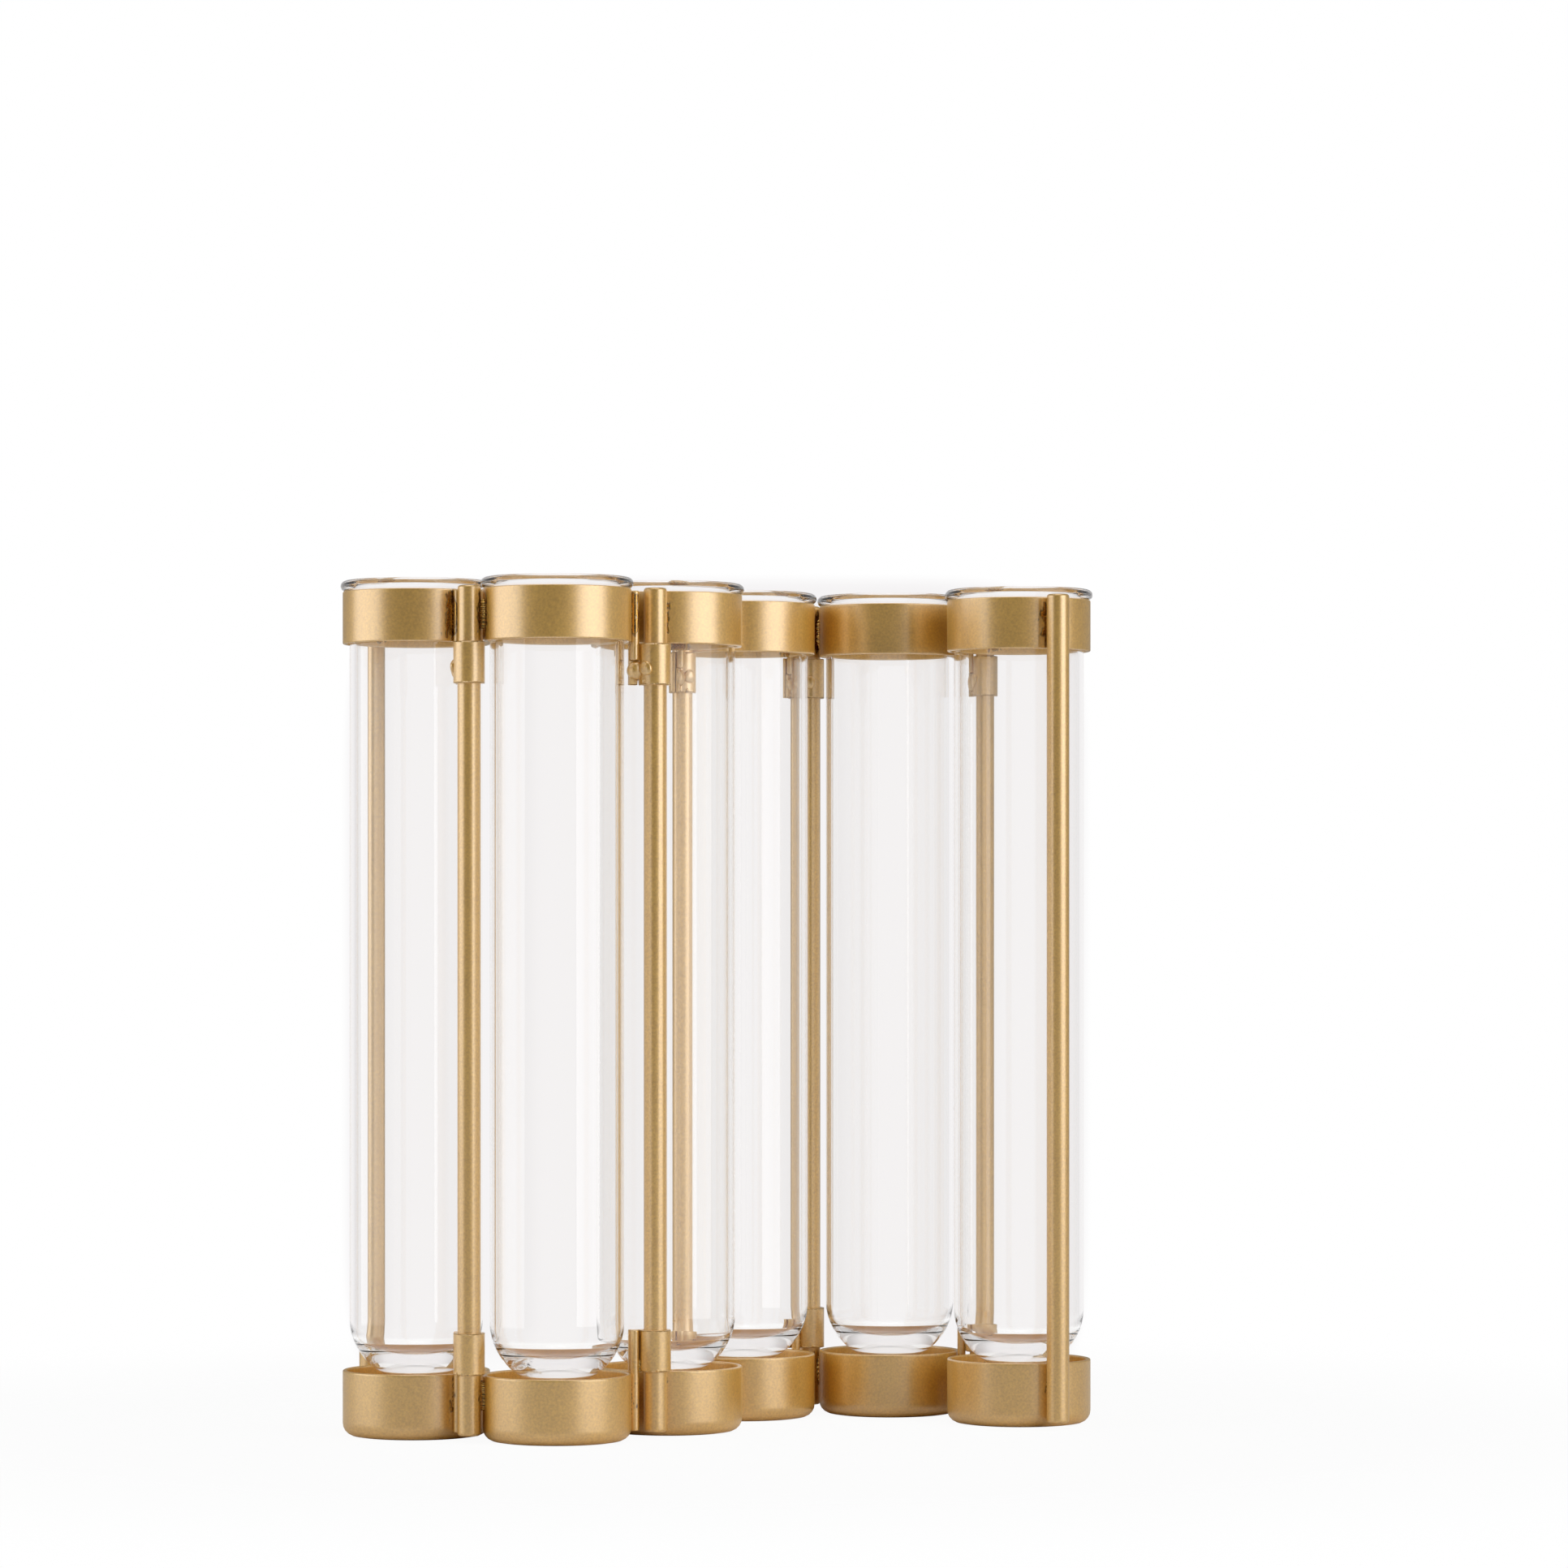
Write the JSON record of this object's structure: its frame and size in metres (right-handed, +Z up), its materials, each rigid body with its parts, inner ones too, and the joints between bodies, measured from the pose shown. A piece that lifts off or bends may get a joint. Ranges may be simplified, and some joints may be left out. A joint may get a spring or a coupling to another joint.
{
  "type": "test tube vase",
  "caption": "Folding zigzag vase: clear glass test tubes hang in round gold metal holders joined in a row by upright rod hinges.",
  "frame": {"origin": "on the ground, under the middle of the row's box as it stands at rest", "axes": "+Z up along the tubes; +X along the row, from the first holder to the last; +Y away from the side that is usually seen"},
  "size_m": [0.1425, 0.0878, 0.16],
  "materials": {
    "clear_glass": "clear, polished",
    "gold_lacquer": "satin metallic lacquer with a fine grain",
    "braze": "rippled braze under the same satin lacquer"
  },
  "bodies": {
    "holder_1": {"hinge_rod_1": "gold_lacquer", "top_ring_1": "gold_lacquer", "base_cup_1": "gold_lacquer", "upper_braze_1": "braze", "lower_braze_1": "braze", "upper_stub_1": "gold_lacquer", "upper_sleeve_1": "gold_lacquer", "lower_stub_1": "gold_lacquer", "lower_sleeve_1": "gold_lacquer"},
    "holder_2": {"hinge_rod_2": "gold_lacquer", "top_ring_2": "gold_lacquer", "base_cup_2": "gold_lacquer", "upper_braze_2": "braze", "lower_braze_2": "braze", "upper_stub_2": "gold_lacquer", "upper_sleeve_2": "gold_lacquer", "lower_stub_2": "gold_lacquer", "lower_sleeve_2": "gold_lacquer"},
    "holder_3": {"hinge_rod_3": "gold_lacquer", "top_ring_3": "gold_lacquer", "base_cup_3": "gold_lacquer", "upper_braze_3": "braze", "lower_braze_3": "braze", "upper_stub_3": "gold_lacquer", "upper_sleeve_3": "gold_lacquer", "lower_stub_3": "gold_lacquer", "lower_sleeve_3": "gold_lacquer"},
    "holder_4": {"hinge_rod_4": "gold_lacquer", "top_ring_4": "gold_lacquer", "base_cup_4": "gold_lacquer", "upper_braze_4": "braze", "lower_braze_4": "braze", "upper_stub_4": "gold_lacquer", "upper_sleeve_4": "gold_lacquer", "lower_stub_4": "gold_lacquer", "lower_sleeve_4": "gold_lacquer"},
    "holder_5": {"hinge_rod_5": "gold_lacquer", "top_ring_5": "gold_lacquer", "base_cup_5": "gold_lacquer", "upper_braze_5": "braze", "lower_braze_5": "braze", "upper_stub_5": "gold_lacquer", "upper_sleeve_5": "gold_lacquer", "lower_stub_5": "gold_lacquer", "lower_sleeve_5": "gold_lacquer"},
    "holder_6": {"hinge_rod_6": "gold_lacquer", "top_ring_6": "gold_lacquer", "base_cup_6": "gold_lacquer", "upper_braze_6": "braze", "lower_braze_6": "braze", "end_rod": "gold_lacquer"},
    "tube_1": {"test_tube_1": "clear_glass"},
    "tube_2": {"test_tube_2": "clear_glass"},
    "tube_3": {"test_tube_3": "clear_glass"},
    "tube_4": {"test_tube_4": "clear_glass"},
    "tube_5": {"test_tube_5": "clear_glass"},
    "tube_6": {"test_tube_6": "clear_glass"}
  },
  "joints": [
    {"name": "fold_1", "type": "hinge", "parent": "holder_1", "child": "holder_2", "pos_m": [-0.0463, -0.03352, 0.08], "axis": [0, 0, 1], "range_deg": [-138, 2]},
    {"name": "fold_2", "type": "hinge", "parent": "holder_2", "child": "holder_3", "pos_m": [-0.01209, -0.02543, 0.08], "axis": [0, 0, -1], "range_deg": [-1, 139]},
    {"name": "fold_3", "type": "hinge", "parent": "holder_3", "child": "holder_4", "pos_m": [-0.00737, 0.00942, 0.08], "axis": [0, 0, 1], "range_deg": [-34.1, 105.9]},
    {"name": "fold_4", "type": "hinge", "parent": "holder_4", "child": "holder_5", "pos_m": [0.01687, 0.03488, 0.08], "axis": [0, 0, -1], "range_deg": [-134.6, 5.4]},
    {"name": "fold_5", "type": "hinge", "parent": "holder_5", "child": "holder_6", "pos_m": [0.05027, 0.0239, 0.08], "axis": [0, 0, 1], "range_deg": [-22.4, 117.6]},
    {"name": "lift_tube_1", "type": "slide", "parent": "holder_1", "child": "tube_1", "axis": [0, 0, 1], "range_m": [0, 0.155]},
    {"name": "lift_tube_2", "type": "slide", "parent": "holder_2", "child": "tube_2", "axis": [0, 0, 1], "range_m": [0, 0.155]},
    {"name": "lift_tube_3", "type": "slide", "parent": "holder_3", "child": "tube_3", "axis": [0, 0, 1], "range_m": [0, 0.155]},
    {"name": "lift_tube_4", "type": "slide", "parent": "holder_4", "child": "tube_4", "axis": [0, 0, 1], "range_m": [0, 0.155]},
    {"name": "lift_tube_5", "type": "slide", "parent": "holder_5", "child": "tube_5", "axis": [0, 0, 1], "range_m": [0, 0.155]},
    {"name": "lift_tube_6", "type": "slide", "parent": "holder_6", "child": "tube_6", "axis": [0, 0, 1], "range_m": [0, 0.155]}
  ]
}
